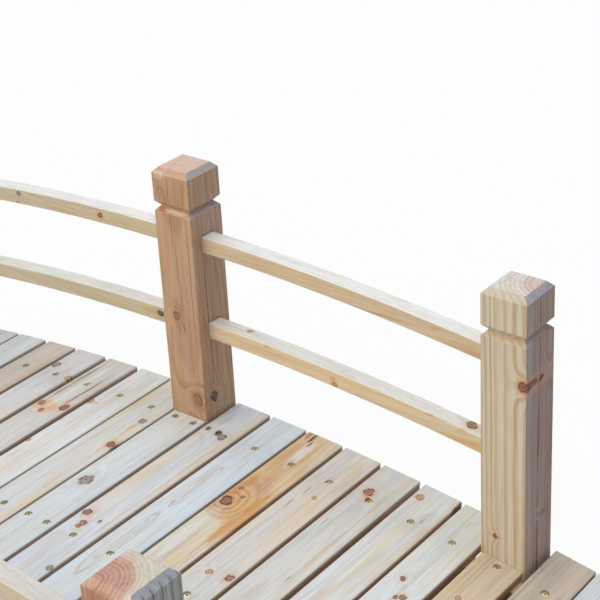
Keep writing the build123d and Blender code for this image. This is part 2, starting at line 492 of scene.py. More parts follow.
def timber_material(name, axes, centre, number, look):
    """Solid timber whose grain runs along the first of the piece's own axes.

    look holds tone (colour of the early wood), and may hold late (colour of the late wood), ring
    (mm), pith and taper (across and through the piece, in mm and mm per mm), heart (radius of the
    heartwood in mm), heart_tone, heart_late, wander (mm), contrast, warm, cool and pink (how much
    of a drifting tint), top, right, slope, brow and edges (a colour, and how much of it on the
    faces that look that way), knots [(along, across, through, radius, kind, spread)] and marks
    [(along, across, through, reach along, across, through, strength, colour)], in mm from the
    piece's middle. A mark of negative strength is an outline only. Top is painted light on the
    faces that look up. Right and slope are painted shade on the faces and chamfers that look +X,
    away from the lamps. Edges is painted shade on a plank's long sides below its top.
    """
    timber_groups()
    look = {**PLAIN_LOOK, **look}
    material = bpy.data.materials.new(name)
    material.use_nodes = True
    tree = material.node_tree
    shader = tree.nodes["Principled BSDF"]
    coordinates = add_node(tree, "ShaderNodeTexCoord").outputs["Object"]
    turn = Matrix(axes).transposed().to_euler()
    inputs = {"Vector": coordinates, "Location": centre, "Rotation": turn}
    local = add_node(tree, "ShaderNodeMapping", inputs, vector_type="TEXTURE").outputs["Vector"]
    pattern = vectors(tree, "ADD", local, seed_of(number))
    swirl = 0.0
    knots = []
    for along, across, through, radius, kind, spread in look["knots"]:
        knot = place_group(tree, "Knot", {
            "Vector": local, "Centre": (along * MM, across * MM, through * MM),
            "Across": spread, "Radius": KNOT_GROWTH * radius * MM,
        })
        swirl = maths(tree, "ADD", swirl, knot["Swirl"])
        knots.append((knot, [colour(code) for code in KNOT_KINDS[kind]]))
    rings = place_group(tree, "Growth rings", {
        "Vector": pattern, "Place": local, "Pith": (0.0, *(part * MM for part in look["pith"])),
        "Taper": (0.0, *look["taper"]), "Ring Width": look["ring"] * MM,
        "Wander": look["wander"] * MM, "Swirl": swirl,
    })
    fibre = place_group(tree, "Fibre and drift", {"Vector": pattern})
    facing = place_group(tree, "Facing", {"Along": axes[0]})
    late = maths(tree, "MULTIPLY", rings["Late Wood"], look["contrast"])
    pale = colour(look["tone"])
    dark = colour(look["late"]) if "late" in look else shaded(pale, LATE_SHADE)
    surface = mix(tree, late, pale, dark)
    if "heart" in look:
        heart = mix(tree, late, colour(look["heart_tone"]), colour(look["heart_late"]))
        edge = look["heart"] * MM
        in_heart = step(tree, rings["Radius"], edge + HEART_EDGE, edge - HEART_EDGE)
        surface = mix(tree, in_heart, surface, heart)
    for drift, tint in (("Warm", WARM_TINT), ("Cool", COOL_TINT), ("Pink", PINK_TINT)):
        mask = maths(tree, "MULTIPLY", fibre[drift], look[drift.lower()])
        surface = mix(tree, mask, surface, tint)
    # Painted light and shade by which way a face looks: top lightens the faces looking up, and right and
    # slope darken the faces and chamfers looking +X. Brow gives the chamfers looking up and to the near
    # side their own colour.
    for face, key in (("Up", "top"), ("Right", "right"), ("Slope", "slope"), ("Brow", "brow")):
        if key in look:
            code, amount = look[key]
            mask = maths(tree, "MULTIPLY", facing[face], amount)
            surface = mix(tree, mask, surface, colour(code))
    # Painted shade on the planks' long sides below the top, where the gaps between planks fall dark.
    if "edges" in look:
        code, amount = look["edges"]
        depth = add_node(tree, "ShaderNodeSeparateXYZ", {0: local}).outputs["Z"]
        low = step(tree, depth, EDGE_SHADE_TOP, EDGE_SHADE_FULL)
        mask = maths(tree, "MULTIPLY", maths(tree, "MULTIPLY", facing["Edges"], low), amount)
        surface = mix(tree, mask, surface, colour(code))
    for along, across, through, *reach, strength, code in look["marks"]:
        mark = place_group(tree, "Mark", {
            "Vector": local, "Centre": (along * MM, across * MM, through * MM),
            "Reach": [part * MM for part in reach],
        })
        mask = mark["Mask"] if strength > 0 else mark["Outline"]
        mask = maths(tree, "MULTIPLY", mask, abs(strength))
        surface = mix(tree, mask, surface, colour(code))
    for amount, mask, tint in (
        (COARSE_SHADE, fibre["Coarse"], FIBRE_SHADE),
        (FINE_SHADE, fibre["Fine"], FIBRE_SHADE),
        (END_GRAIN_SHADE, facing["End"], END_SHADE),
    ):
        surface = mix(tree, maths(tree, "MULTIPLY", mask, amount), surface, tint, "MULTIPLY")
    for knot, (wood, bark, resin) in knots:
        surface = mix(tree, maths(tree, "MULTIPLY", knot["Halo"], KNOT_HALO), surface, resin)
        ringed = mix(tree, maths(tree, "MULTIPLY", knot["Rings"], KNOT_RING_SHADE), wood, bark)
        surface = mix(tree, maths(tree, "MULTIPLY", knot["Core"], KNOT_CORE), surface, ringed)
        surface = mix(tree, maths(tree, "MULTIPLY", knot["Rim"], KNOT_RIM), surface, bark)
    tree.links.new(surface, shader.inputs["Base Color"])
    roughness = maths(tree, "MULTIPLY_ADD", fibre["Fine"], FIBRE_ROUGHNESS, ROUGHNESS)
    tree.links.new(roughness, shader.inputs["Roughness"])
    sunk = maths(tree, "MULTIPLY", fibre["Fine"], FIBRE_SINK)
    height = maths(tree, "MULTIPLY_ADD", late, LATE_WOOD_RISE, sunk)
    inputs = {"Height": height, "Strength": RELIEF_STRENGTH, "Distance": RELIEF}
    bump = add_node(tree, "ShaderNodeBump", inputs)
    tree.links.new(bump.outputs["Normal"], shader.inputs["Normal"])
    return material


def metal_material(name, tint, roughness):
    """Plated metal with faint mottling and dull patches."""
    material = bpy.data.materials.new(name)
    material.use_nodes = True
    tree = material.node_tree
    shader = tree.nodes["Principled BSDF"]
    shader.inputs["Metallic"].default_value = 1.0
    coordinates = add_node(tree, "ShaderNodeTexCoord").outputs["Object"]
    mottle = noise(tree, coordinates, METAL_MOTTLE, detail=3.0)
    dull = shaded(tint, DULL_METAL)
    tree.links.new(mix(tree, step(tree, mottle, 0.4, 0.75), tint, dull), shader.inputs["Base Color"])
    rough = maths(tree, "MULTIPLY_ADD", mottle, DULL_ROUGHNESS, roughness)
    tree.links.new(rough, shader.inputs["Roughness"])
    return material


# Mesh building.


def select_only(piece):
    """Makes one object the only one selected, and the active one."""
    bpy.ops.object.select_all(action="DESELECT")
    piece.select_set(True)
    bpy.context.view_layer.objects.active = piece


def finish_modifiers(piece):
    """Applies a piece's modifiers in their order."""
    select_only(piece)
    for modifier in list(piece.modifiers):
        bpy.ops.object.modifier_apply(modifier=modifier.name)


def settle(piece, name, material, smooth_angle):
    """Names a finished piece, applies its place and lets it ride with the bridge."""
    select_only(piece)
    bpy.ops.object.transform_apply(location=True, rotation=True, scale=True)
    bpy.ops.object.shade_smooth_by_angle(angle=smooth_angle)
    piece.name = name
    piece.data.name = name
    piece.data.materials.clear()
    piece.data.materials.append(material)
    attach(piece, "root")


def worn_timber(node, axes, number, look):
    """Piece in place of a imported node: the same timber with its wood and its edges worn round."""
    material = timber_material(node, axes, box_centre(node), number, look)
    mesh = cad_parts[node].data.copy()
    piece = bpy.data.objects.new(f"{node}_timber", mesh)
    bpy.context.scene.collection.objects.link(piece)
    select_only(piece)
    bpy.ops.object.mode_set(mode="EDIT")
    bpy.ops.mesh.select_all(action="SELECT")
    bpy.ops.mesh.remove_doubles(threshold=MERGE_DISTANCE)
    bpy.ops.mesh.dissolve_limited(angle_limit=COPLANAR_ANGLE)
    bpy.ops.object.mode_set(mode="OBJECT")
    bevel = piece.modifiers.new("Worn edges", "BEVEL")
    bevel.width = bpy.context.scene.bridge.edge_wear
    bevel.segments = 2
    bevel.limit_method = "ANGLE"
    bevel.angle_limit = WEAR_ANGLE
    finish_modifiers(piece)
    settle(piece, f"{node}_timber", material, TIMBER_SMOOTH_ANGLE)
    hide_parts(node)


def copy_to(master, name, matrix):
    """Copy of a finished small part with its own mesh, moved to its place."""
    mesh = master.data.copy()
    mesh.transform(matrix)
    copy = bpy.data.objects.new(name, mesh)
    bpy.context.scene.collection.objects.link(copy)
    return copy


def join_copies(master, name, matrices):
    """One piece of copies of a small part, which is then removed."""
    copies = [copy_to(master, name, matrix) for matrix in matrices]
    select_only(copies[0])
    for copy in copies:
        copy.select_set(True)
    bpy.ops.object.join()
    return copies[0]


def select_faces(mesh, chosen):
    """Selects the faces for which chosen(face) holds, in an open edit mode."""
    bpy.ops.mesh.select_mode(type="FACE")
    bpy.ops.mesh.select_all(action="DESELECT")
    bpy.ops.object.mode_set(mode="OBJECT")
    for face in mesh.polygons:
        face.select = chosen(face)
    bpy.ops.object.mode_set(mode="EDIT")


def looks_up(face):
    """Whether a face of a small part is level and looks up."""
    return face.normal.z > 0.9


def looks_down(face):
    """Whether a face of a small part is level and looks down."""
    return face.normal.z < -0.9


def screw_master(diameter):
    """A flat screw head with a rounded rim and a cross recess, its top at the origin."""
    radius = diameter / 2
    bpy.ops.object.select_all(action="DESELECT")
    bpy.ops.mesh.primitive_cylinder_add(
        vertices=SCREW_SIDES, radius=radius, depth=SCREW_HEAD_THICKNESS,
        location=(0.0, 0.0, -SCREW_HEAD_THICKNESS / 2))
    head = bpy.context.active_object
    bpy.ops.object.transform_apply(location=True)
    bpy.ops.object.mode_set(mode="EDIT")
    select_faces(head.data, looks_up)
    bpy.ops.mesh.inset(thickness=0.18 * radius, depth=0.1 * radius)
    bpy.ops.object.mode_set(mode="OBJECT")
    for length, width in ((1.15 * radius, 0.36 * radius), (0.36 * radius, 1.15 * radius)):
        bpy.ops.object.select_all(action="DESELECT")
        bpy.ops.mesh.primitive_cube_add(size=1.0)
        slot = bpy.context.active_object
        slot.scale = (length, width, 0.9 * radius)
        bpy.ops.object.transform_apply(scale=True)
        bpy.ops.object.mode_set(mode="EDIT")
        select_faces(slot.data, looks_down)
        bpy.ops.transform.resize(value=(0.7, 0.7, 1.0))
        bpy.ops.object.mode_set(mode="OBJECT")
        recess = head.modifiers.new("Cross recess", "BOOLEAN")
        recess.operation = "DIFFERENCE"
        recess.object = slot
        finish_modifiers(head)
        bpy.data.objects.remove(slot)
    return head


def bolt_master(diameter):
    """Domed bolt head that stands on a face which looks along Z."""
    bpy.ops.object.select_all(action="DESELECT")
    bpy.ops.mesh.primitive_cylinder_add(
        vertices=BOLT_SIDES, radius=diameter / 2, depth=BOLT_HEAD_HEIGHT,
        location=(0.0, 0.0, BOLT_HEAD_HEIGHT / 2))
    head = bpy.context.active_object
    bpy.ops.object.transform_apply(location=True)
    bpy.ops.object.mode_set(mode="EDIT")
    select_faces(head.data, looks_up)
    for inward, upward in DOME_STEPS:
        bpy.ops.mesh.inset(thickness=inward * diameter / 2, depth=upward * diameter)
    bpy.ops.object.mode_set(mode="OBJECT")
    return head


def nut_master(diameter):
    """Washer, hexagon nut and the bolt's end, on a face which looks along Z."""
    parts = []
    for sides, share, low, high, rim in NUT_STACK:
        bpy.ops.object.select_all(action="DESELECT")
        bpy.ops.mesh.primitive_cylinder_add(
            vertices=sides, radius=share * diameter, depth=high - low,
            location=(0.0, 0.0, (low + high) / 2))
        part = bpy.context.active_object
        bpy.ops.object.transform_apply(location=True)
        bevel = part.modifiers.new("Rim", "BEVEL")
        bevel.width = rim
        bevel.segments = 2
        finish_modifiers(part)
        parts.append(part)
    for part in parts:
        part.select_set(True)
    bpy.context.view_layer.objects.active = parts[0]
    bpy.ops.object.join()
    return parts[0]


# A board's knots run through its thickness, and its marks reach right through it in mm.
THROUGH = (1.0, 1.0, 0.0)
RIGHT_THROUGH = 1000.0

RED_BROWN = "9a6046"
DARK_BROWN = "6b4d39"
STRAW = "ddc79c"
SILVER = "d6d9d3"
BLUSH = "d9bdae"

# The painted shade on the planks' long edges, in the gaps between them, and how strongly their growth
# rings show.
PLANK_EDGE_PAINTED_SHADE = ("ba8860", 0.8)
PLANK_CONTRAST = 0.4

# Painted shade in the screw holes' recesses: the height of its middle over the plank's, its reach in mm,
# how much.
HOLE_PAINTED_SHADE = "55432f"
HOLE_PAINTED_SHADE_RISE = 3.2
HOLE_PAINTED_SHADE_REACH = (6.8, 6.8, 3.9)
HOLE_PAINTED_SHADE_STRENGTH = 0.9

# Looks of the planks, read from the photograph. Knots are (along, across, radius, kind) and marks
# (along, across, reach along, reach across, strength, colour) from the plank's middle.
PLANK_LOOKS = {
    1: dict(tone="dbd8ce", pith=(14, -60)),
    2: dict(tone="dcd4bf", pith=(-6, -45), knots=[(-120, 10, 6, "brown")]),
    3: dict(tone="d5d9d7", pith=(4, -80), cool=0.6, knots=[(60, -14, 4, "grey")]),
    4: dict(tone="cfc0a2", pith=(-16, -60)),
    5: dict(tone="dbd7c8", pith=(2, -50), knots=[(-40, 12, 6, "tan")]),
    6: dict(tone="d4d9d7", pith=(10, -60), cool=0.7, marks=[(60, 0, 120, 12, 0.4, BLUSH)]),
    7: dict(tone="d7dddd", pith=(-8, -90), cool=0.8, knots=[(-30, 8, 5, "brown")]),
    8: dict(tone="c5beaf", pith=(6, -70), pink=0.5, marks=[(250, -22, 140, 7, 0.5, "c7a07c")]),
    9: dict(
        tone="d3d1ca", pith=(-10, -60), cool=0.5,
        knots=[(284, 21, 5.5, "grey"), (263, -24, 4, "tan")],
        marks=[(226, 0, 16, 1.5, 0.5, "8d857a")],
    ),
    10: dict(
        tone="cfcec3", pith=(8, -55),
        knots=[(181, 5, 3.6, "brown"), (196, 19, 4.6, "brown"), (201, -18, 5.5, "red")],
        marks=[
            (192, 4, 22, 24, 0.85, "d9a873"), (272, 20, 66, 3.5, 0.85, "948776"),
            (201, -18, 11, 8, 0.6, "c98d5c"),
            (230, 21, 30, 2.5, 0.7, "b3895f"), (248, -13, 50, 2.0, 0.85, DARK_BROWN),
            (222, -12, 22, 3.0, 0.7, RED_BROWN), (256, 3, 70, 9, 0.75, "e1e1d0"),
        ],
    ),
    11: dict(
        tone="dcdfd8", pith=(-12, -70), warm=0.4,
        knots=[(231, 26, 4.5, "tan"), (117, 25, 3, "tan")],
        marks=[
            (231, 15, 3, 7, 0.6, "c79f74"), (84, 17, 16, 2, 0.7, "cfae7c"),
            (176, 24, 4, 4, 0.5, "bcae9c"),
        ],
    ),
    12: dict(
        tone="d5d5cb", pith=(4, -60), warm=0.5,
        knots=[(166, -19, 4.8, "red"), (230, -15, 4.2, "grey")],
        marks=[
            (166, -18, 14, 10, 0.85, "d8a274"), (213, -13, 20, 4, 0.85, "dab06c"),
            (166, -26, 13, 2.5, 0.9, "59402f"), (110, -5, 60, 5, 0.4, STRAW),
        ],
    ),
    13: dict(
        tone="d7dcd5", pith=(-6, -80), cool=0.5, knots=[(90, 8, 7.5, "grey")],
        marks=[
            (90, 8, 22, 7, 0.5, "b9aea4"), (180, -20, 70, 4, 0.4, "cbbfae"),
            (90, -14, 60, 3, 0.4, "bdc6cc"),
        ],
    ),
    14: dict(
        tone="d5d9d7", pith=(10, -50), cool=0.6, warm=0.4,
        knots=[
            (264, 19, 2.8, "dark"), (258, -9.5, 4.8, "grey"), (263, 1, 4.5, "grey"), (42, 18, 4.5, "red"),
            (24, 7.5, 4.2, "red"), (16, 8, 3, "brown"), (37, -7, 2.2, "red"), (-60, -22, 3.5, "grey"),
        ],
        marks=[
            (120, -19, 190, 2.5, 0.55, "d0b083"), (180, -24, 160, 2.0, 0.45, "cdb48e"),
            (150, -3, 190, 10, 0.65, SILVER), (44, 12, 14, 6, 0.55, "d6a884"),
            (110, 22, 120, 3, 0.4, STRAW),
        ],
    ),
    15: dict(
        tone="d4e0df", pith=(-4, -70), cool=0.5, contrast=0.25,
        marks=[
            (158, 6, 50, 6, 0.55, "cdb5a6"), (158, 6, 52, 7, -0.6, "c3a292"),
            (160, 6, 30, 3, -0.5, "c3a292"), (20, 8, 76, 10, -0.6, "c6a99a"),
            (28, 8, 50, 5, -0.45, "c6a99a"), (20, 8, 60, 7, 0.3, "d2bdb0"),
            (117, 8, 5, 3.5, 0.7, "cf9f88"),
        ],
    ),
    16: dict(
        tone="d6d4c2", pith=(8, -40), warm=0.5, contrast=0.7, late="cfae76",
        knots=[(157.5, 16, 6.8, "red"), (175, 5, 2.6, "brown"), (187.5, 17.5, 2.8, "brown")],
        marks=[
            (240, 6, 130, 44, 0.85, "d8b27c"), (175, -6, 70, 26, 0.7, "d6a96e"),
            (140, -19, 85, 12, 0.85, "cf954f"), (180, 19, 50, 10, 0.9, "c4854a"),
            (160, 14, 24, 14, 0.7, "cb9863"), (205, -2, 30, 16, 0.7, "c4937a"),
            (286, 4, 36, 9, 0.85, "e2ded2"), (240, -12, 50, 8, 0.55, "dfd0ad"),
            (158, 15, 21, 15, -0.7, "a8743f"), (160, 14, 31, 22, -0.55, "b98648"),
            (164, 12, 44, 29, -0.5, "c39454"), (300, 20, 60, 7, 0.5, "cfa070"),
            (324, 13, 16, 3.0, 0.95, "55402f"), (312, 8, 8, 2.0, 0.9, "5c4636"),
            (326, 21, 14, 3.5, 0.8, "a86a3c"), (20, -8, 40, 7, 0.5, "dcc287"),
            (70, 14, 60, 10, 0.6, "e0ddd0"), (80, 12, 62, 12, -0.4, "cdbb98"),
        ],
    ),
    17: dict(
        tone="d5d2c5", pith=(-14, -60), warm=0.4,
        knots=[(43.5, 5.5, 3.6, "tan"), (50, -20, 4.5, "brown"), (226, -4.5, 2.8, "tan")],
        marks=[
            (200, 13, 14, 0.8, 0.9, "695849"), (232, 11, 12, 0.8, 0.9, "695849"),
            (48, -18, 12, 6, 0.7, "c5a98c"), (44, 5, 8, 6, 0.4, "c9b08e"),
            (130, -12, 110, 3, 0.5, "dcc391"), (290, -12, 40, 3, 0.5, "dcc391"),
        ],
    ),
    18: dict(
        tone="d4d1c3", pith=(6, -90), cool=0.4,
        knots=[(277, 9.5, 5.8, "brown"), (265, 3, 2.2, "brown")],
        marks=[
            (200, -14, 150, 1.6, 0.65, "cba877"), (120, -17, 60, 1.4, 0.45, "cdb083"),
            (274, 8, 13, 10, 0.65, "d8a776"), (198, 17, 12, 0.8, 0.8, "7d6f61"),
            (91, -12, 8, 0.9, 0.8, "7d6f61"),
        ],
    ),
    19: dict(
        tone="dbddd5", pith=(-8, -60), warm=0.5,
        knots=[(308, 17.5, 4.6, "tan")],
        marks=[
            (308, 17.5, 9, 9, 0.7, "dfb08e"), (272, -10, 9, 0.9, 0.85, "6d6052"),
            (200, -2, 120, 5, 0.5, "ddcb9f"), (170, -16, 90, 3, 0.5, "d6c191"),
            (322, -27, 14, 2.5, 0.9, "6d4c33"),
        ],
    ),
    20: dict(
        tone="dcded4", pith=(12, -70),
        knots=[(174.5, 8.5, 3, "red"), (143.5, -2.5, 2.6, "red"), (149, -9, 3.4, "brown")],
        marks=[(303, 3, 12, 1.6, 0.8, "e0be62"), (176, 8, 6, 5, 0.4, "c9ab8a")],
    ),
    21: dict(
        tone="cfbe9e", pith=(-4, -55), contrast=0.5,
        knots=[(189.5, 5.5, 3.4, "tan")],
        marks=[
            (205, -7, 16, 5, 0.6, "dcbd96"), (250, 14, 90, 1.4, 0.6, "b98f68"),
            (250, 8, 80, 1.2, 0.5, "b98f68"), (240, 20, 70, 1.5, 0.5, "bb9a70"),
        ],
    ),
    22: dict(
        # Its tone is darkened a little as painted shade from the post beside it.
        tone="bdb197", pith=(10, -75), pink=0.35,
        marks=[
            (280, 4, 8, 14, 0.5, "b9b3ac"), (250, 22, 70, 1.5, 0.6, "ad8c6a"),
            (250, -18, 60, 2, 0.4, "b09674"),
        ],
    ),
    23: dict(tone="d5dad7", pith=(-10, -60), cool=0.5, knots=[(-60, -10, 5, "brown")]),
    24: dict(tone="dad4c3", pith=(6, -70), knots=[(120, 6, 4, "grey")]),
    25: dict(tone="d7d4ca", pith=(-8, -50)),
}

# How far a knot spreads on the face where it shows: in front, at the side or on top.
FRONT = (1.0, 1.0, 0.3)
SIDE = (1.0, 0.3, 1.0)
ON_TOP = (1.0, 0.25, 1.0)

# Looks of the posts. Along is up, across is to the right and through is away from the near side.
TORN = "e9dfd3"
# In the posts' looks, top is painted light on the upward faces, right is painted shade on the faces that
# look +X, and slope is painted cool shade on the chamfers that look up and +X.
POST_LOOKS = {
    "post_far_mid": dict(
        tone="c4a283", late="9c6d50", pith=(4, 60), ring=7.5, wander=10, contrast=0.55, taper=(0.03, 0.06),
        warm=0.12, cool=0.12, pink=0.15, top=("e2c6b0", 0.85), slope=("aaa5a4", 0.7), brow=("b48f6e", 0.4),
        knots=[(12, -7, -29, 4.6, "faint", FRONT), (-106, 17, -29, 6.5, "faint", FRONT),
               (-104, 29, -11, 6.0, "dark", SIDE)],
        marks=[
            (-9, -4, -29, 7, 1.2, 4, 0.85, "7e5039"), (-4, 4, -29, 10, 1.4, 4, 0.8, "82543c"),
            (12, -7, -29, 13, 8.5, 4, -0.6, "9a6a4e"), (14, -8, -29, 20, 12, 4, -0.35, "a2735a"),
            (38, 4, -29, 30, 1.0, 4, 0.9, "8f6046"), (84, 0.5, -29, 38, 1.0, 4, 0.9, "8f6046"),
            (132, -3.5, -29, 30, 1.0, 4, 0.9, "8f6046"), (186, -4.5, -29, 26, 1.0, 4, 0.8, "8f6046"),
            (60, 22, -29, 110, 1.1, 4, 0.85, "936449"), (180, 19, -29, 32, 1.0, 4, 0.85, "936449"),
            (-20, -19, -29, 34, 1.6, 4, 0.7, "9d6a4f"), (40, -14, -29, 130, 7, 4, 0.35, "d2a685"),
            (-30, 12, -29, 120, 9, 4, 0.3, "b78768"), (60, 28.6, -28.6, 230, 1.0, 1.0, 0.75, "e7d2bd"),
            (-106, 17, -29, 12, 9, 4, -0.6, "976a4f"),
            (-104, 29, -18, 12, 4, 5, 0.85, "5d4232"), (-90, 29, -15, 22, 3, 1.6, 0.8, "7a5640"),
            (-20, 29, -20, 260, 3, 9, 0.45, "b98d6e"), (10, 29, -10, 170, 4, 1.6, 0.85, "8a5c48"),
            (157, -18, -26, 4, 9, 6, 0.8, "b26a50"), (157.5, 4, -25, 3.5, 24, 5, 0.7, TORN),
            (158, -28, 0, 4, 3, 26, 0.6, TORN), (205, -20, -29, 7, 12, 6, 0.6, "e8d6c4"),
            (172, -17, -29, 17, 8.5, 4, -0.7, "8f6046"), (170, -17, -29, 10, 5, 4, -0.5, "9a6a4e"),
        ],
    ),
    "post_far_right": dict(
        tone="d9d8c6", late="c2a273", pith=(38, 20), ring=5.6, wander=3, contrast=0.95, taper=(0.012, 0.0),
        heart=36, heart_tone="d2b8a8", heart_late="a37c68", warm=0.08, cool=0.2, pink=0.08,
        top=("f8f6f0", 0.32), right=("98827a", 0.65), slope=("999ba5", 0.7), brow=("b5ab8d", 0.5),
        knots=[(106, 25, -27, 5.0, "red", (1.0, 1.0, 0.12)), (-103, -10, -29, 2.6, "red", FRONT),
               (-72, 29, -3, 3, "grey", SIDE)],
        marks=[
            (106, 25, -29, 15, 12, 5, 0.85, "dba777"), (106, 29, -25, 9, 4, 8, 0.95, "63382c"),
            (107, 29, -14, 6, 4, 10, 0.95, "70453a"), (103, 29, -5, 5, 4, 5, 0.7, "9d8763"),
            (-80, 29, -3, 110, 4, 1.7, 1.0, "713f33"), (40, 29, -3, 90, 4, 1.7, 1.0, "713f33"),
            (130, 29, -1, 60, 4, 2.0, 0.85, "7a483a"), (185, 29, -1, 30, 4, 2.0, 0.7, "7a4c3e"),
            (-76, 29, 8, 5, 4, 14, 0.7, "7c6257"), (-150, 29, -3, 40, 4, 2.0, 0.8, "713f33"),
            (30, 29, 12, 180, 3, 1.4, 0.4, "8d776c"),
            (60, 28.8, -28.8, 230, 0.9, 0.9, 0.6, "8a7b72"), (-103, -6, -29, 2.4, 5, 3, 0.6, "c98a6a"),
            (214, 14, 4, 5, 13, 13, 0.4, "dcb2a2"), (214, -14, 4, 5, 2, 18, 0.45, "bcbcbc"),
            (214, -4, -4, 5, 2, 14, 0.4, "c2bdb8"),
            (158, 4, -25, 3.5, 26, 5, 0.6, "d7b08a"), (-60, 20, -29, 60, 3, 4, 0.5, "d9b494"),
            (20, 29, -16, 200, 3, 2.2, 0.35, "8b7367"), (-40, 29, 20, 150, 3, 1.6, 0.35, "93796c"),
        ],
    ),
    "post_near_right": dict(
        tone="d9d5c3", late="c9b98c", pith=(-16, -20), ring=4.2, wander=9, contrast=0.75,
        taper=(0.01, 0.01), heart=34, heart_tone="cba18b", heart_late="ab6a50", warm=0.1, cool=0.2,
        pink=0.2, right=("82868f", 0.6), slope=("8b92a1", 0.65),
        knots=[(-40, 29, 4, 5, "brown", SIDE)],
        marks=[
            # Stripes of grain near the top of the +X face and chamfer. Their dark blue-grey is painted
            # shade and their pale blue is painted light.
            *((190, 29, through, 90, 5, width, strength, code) for through, width, strength, code in (
                (-24, 1.8, 0.8, "59606b"), (-15, 1.5, 0.8, "59606b"), (-5, 1.8, 0.75, "616872"),
                (6, 1.5, 0.75, "616872"), (17, 1.8, 0.7, "666d76"), (26, 1.2, 0.7, "666d76"))),
            *((200, 29, through, 60, 5, width, strength, "c3ccd6") for through, width, strength in (
                (-20, 1.6, 0.6), (1, 1.8, 0.6), (12, 1.6, 0.5))),
            (214, -14, 12, 5, 9, 12, 0.4, "d9b49e"), (190, -10, -29, 40, 22, 3, 0.5, "a8745c"),
        ],
    ),
    "post_far_left": dict(
        tone="dad3bb", late="c4a171", pith=(-34, 14), ring=5.4, wander=4, contrast=0.9,
        heart=32, heart_tone="c9ad98", heart_late="ad866e", knots=[(40, 8, -29, 5, "brown", FRONT)],
    ),
    "post_near_mid": dict(
        tone="cfb091", late="aa7c5c", pith=(6, -64), ring=7.0, wander=10, contrast=0.6, warm=0.15,
        pink=0.3, top=("dcc6b2", 0.6),
        knots=[
            (60, -9, 29, 5, "brown", FRONT), (-70, 12, 29, 4, "tan", FRONT), (20, -29, 6, 5, "dark", SIDE),
        ],
    ),
    "post_near_left": dict(
        tone="dcd2b8", late="c39d6c", pith=(-26, 24), ring=5.8, wander=5, contrast=0.9,
        heart=26, heart_tone="cdb09b", heart_late="b08a72", knots=[(90, 10, 29, 4, "brown", FRONT)],
    ),
}

# The rails' front face lies this many mm before their middle, and marks reach a little way in.
RAIL_FACE = 11.0
RAIL_MARK_DEPTH = 6.0

# Looks of the rails. Knots and marks are (distance from the crown, height over the rail's line)
# and then as on the planks.
# Painted light: each rail's top is painted paler, near white, as the light from overhead shows it.
PAINTED_LIGHT_TOP = ("ebebe0", 0.85)
RAIL_LOOKS = {
    "upper_rail_far_right": dict(
        tone="dccdae", pith=(-20, 40), contrast=0.4, top=PAINTED_LIGHT_TOP, cool=0.1,
        marks=[
            (450, -3, 70, 9, 0.5, "cf9f6c"), (310, -5, 45, 2.2, 0.5, "b99d70"),
            (378, 7, 9, 3, 0.5, "cfa06c"), (120, -2, 60, 3, 0.35, "cdb68a"),
        ],
    ),
    "lower_rail_far_right": dict(
        tone="e9d9b6", pith=(24, 38), contrast=0.4, warm=0.5, top=PAINTED_LIGHT_TOP,
        knots=[(417, 13, 5.4, "brown", ON_TOP, -3), (229, -7, 3.0, "tan", FRONT, 11),
               (86, 12, 3.0, "tan", ON_TOP, -4)],
        marks=[
            (227, -2, 7, 7, 0.7, "d99c62"), (124, 9, 6, 1.2, 0.7, "9a7350"),
            (367, 10, 10, 1.5, 0.6, "b98a60"),
            (413, 8, 12, 6, 0.4, "dfb287"), (440, -3, 80, 9, 0.45, "d9a878"),
        ],
    ),
    "upper_rail_far_left": dict(
        tone="d2c8aa", pith=(-18, 44), contrast=0.4, top=PAINTED_LIGHT_TOP,
        knots=[(-304, 6, 3.0, "grey", FRONT, 11), (-148, 1, 3.4, "brown", FRONT, 11)],
        marks=[
            (-307, -8, 5, 2, 0.7, "8c7a60"), (-148, -2, 9, 7, 0.5, "cba274"),
            (-220, -6, 40, 3, 0.4, "c9a878"),
        ],
    ),
    "lower_rail_far_left": dict(
        tone="d0c7ac", pith=(16, 52), contrast=0.4, top=PAINTED_LIGHT_TOP,
        knots=[(-54, 2, 3.6, "dark", FRONT, 11)],
        marks=[(-70, 0, 20, 7, 0.5, "d2ac7c"), (-120, -5, 40, 3, 0.3, "cbb284")],
    ),
    "upper_rail_near_right": dict(
        tone="d9ceb4", pith=(-22, 36), contrast=0.5, warm=0.3, top=("d6d2c4", 0.7)),
    "lower_rail_near_right": dict(tone="dccaa8", pith=(14, 48), contrast=0.5, top=PAINTED_LIGHT_TOP),
    "upper_rail_near_left": dict(tone="d8cbae", pith=(20, -40), contrast=0.5, top=PAINTED_LIGHT_TOP),
    "lower_rail_near_left": dict(tone="d9cdb2", pith=(-16, 46), contrast=0.5, top=PAINTED_LIGHT_TOP),
}
BEAM_LOOKS = {
    "side_beam_near": dict(
        tone="d8c5a2", pith=(20, 60), contrast=0.7, wander=20,
        knots=[(-260, 12, 7, "brown"), (120, -6, 6, "tan"), (410, 4, 5, "brown")],
    ),
    "centre_beam": dict(
        tone="d6c4a4", pith=(-26, 50), contrast=0.7, wander=20, knots=[(40, 10, 6, "brown")]),
    "side_beam_far": dict(
        tone="dac8a6", pith=(14, -64), contrast=0.7, wander=20,
        knots=[(200, 14, 7, "brown"), (-90, -2, 5, "tan")],
    ),
}


def plank_axes(node):
    """Along, across and square to a plank, from where it lies on the deck's arc."""
    slope = math.asin(box_centre(node).x / (DECK_RADIUS - PLANK_THICKNESS / 2))
    across = (-math.cos(slope), 0.0, math.sin(slope))
    square = (math.sin(slope), 0.0, math.cos(slope))
    return (0.0, 1.0, 0.0), across, square


def plank_screws(node):
    """Distance of each screw in a row of a plank from the plank's middle."""
    return (-MIDDLE_SCREW_SPACING / 2, MIDDLE_SCREW_SPACING / 2) if node == MIDDLE_PLANK else (0.0,)


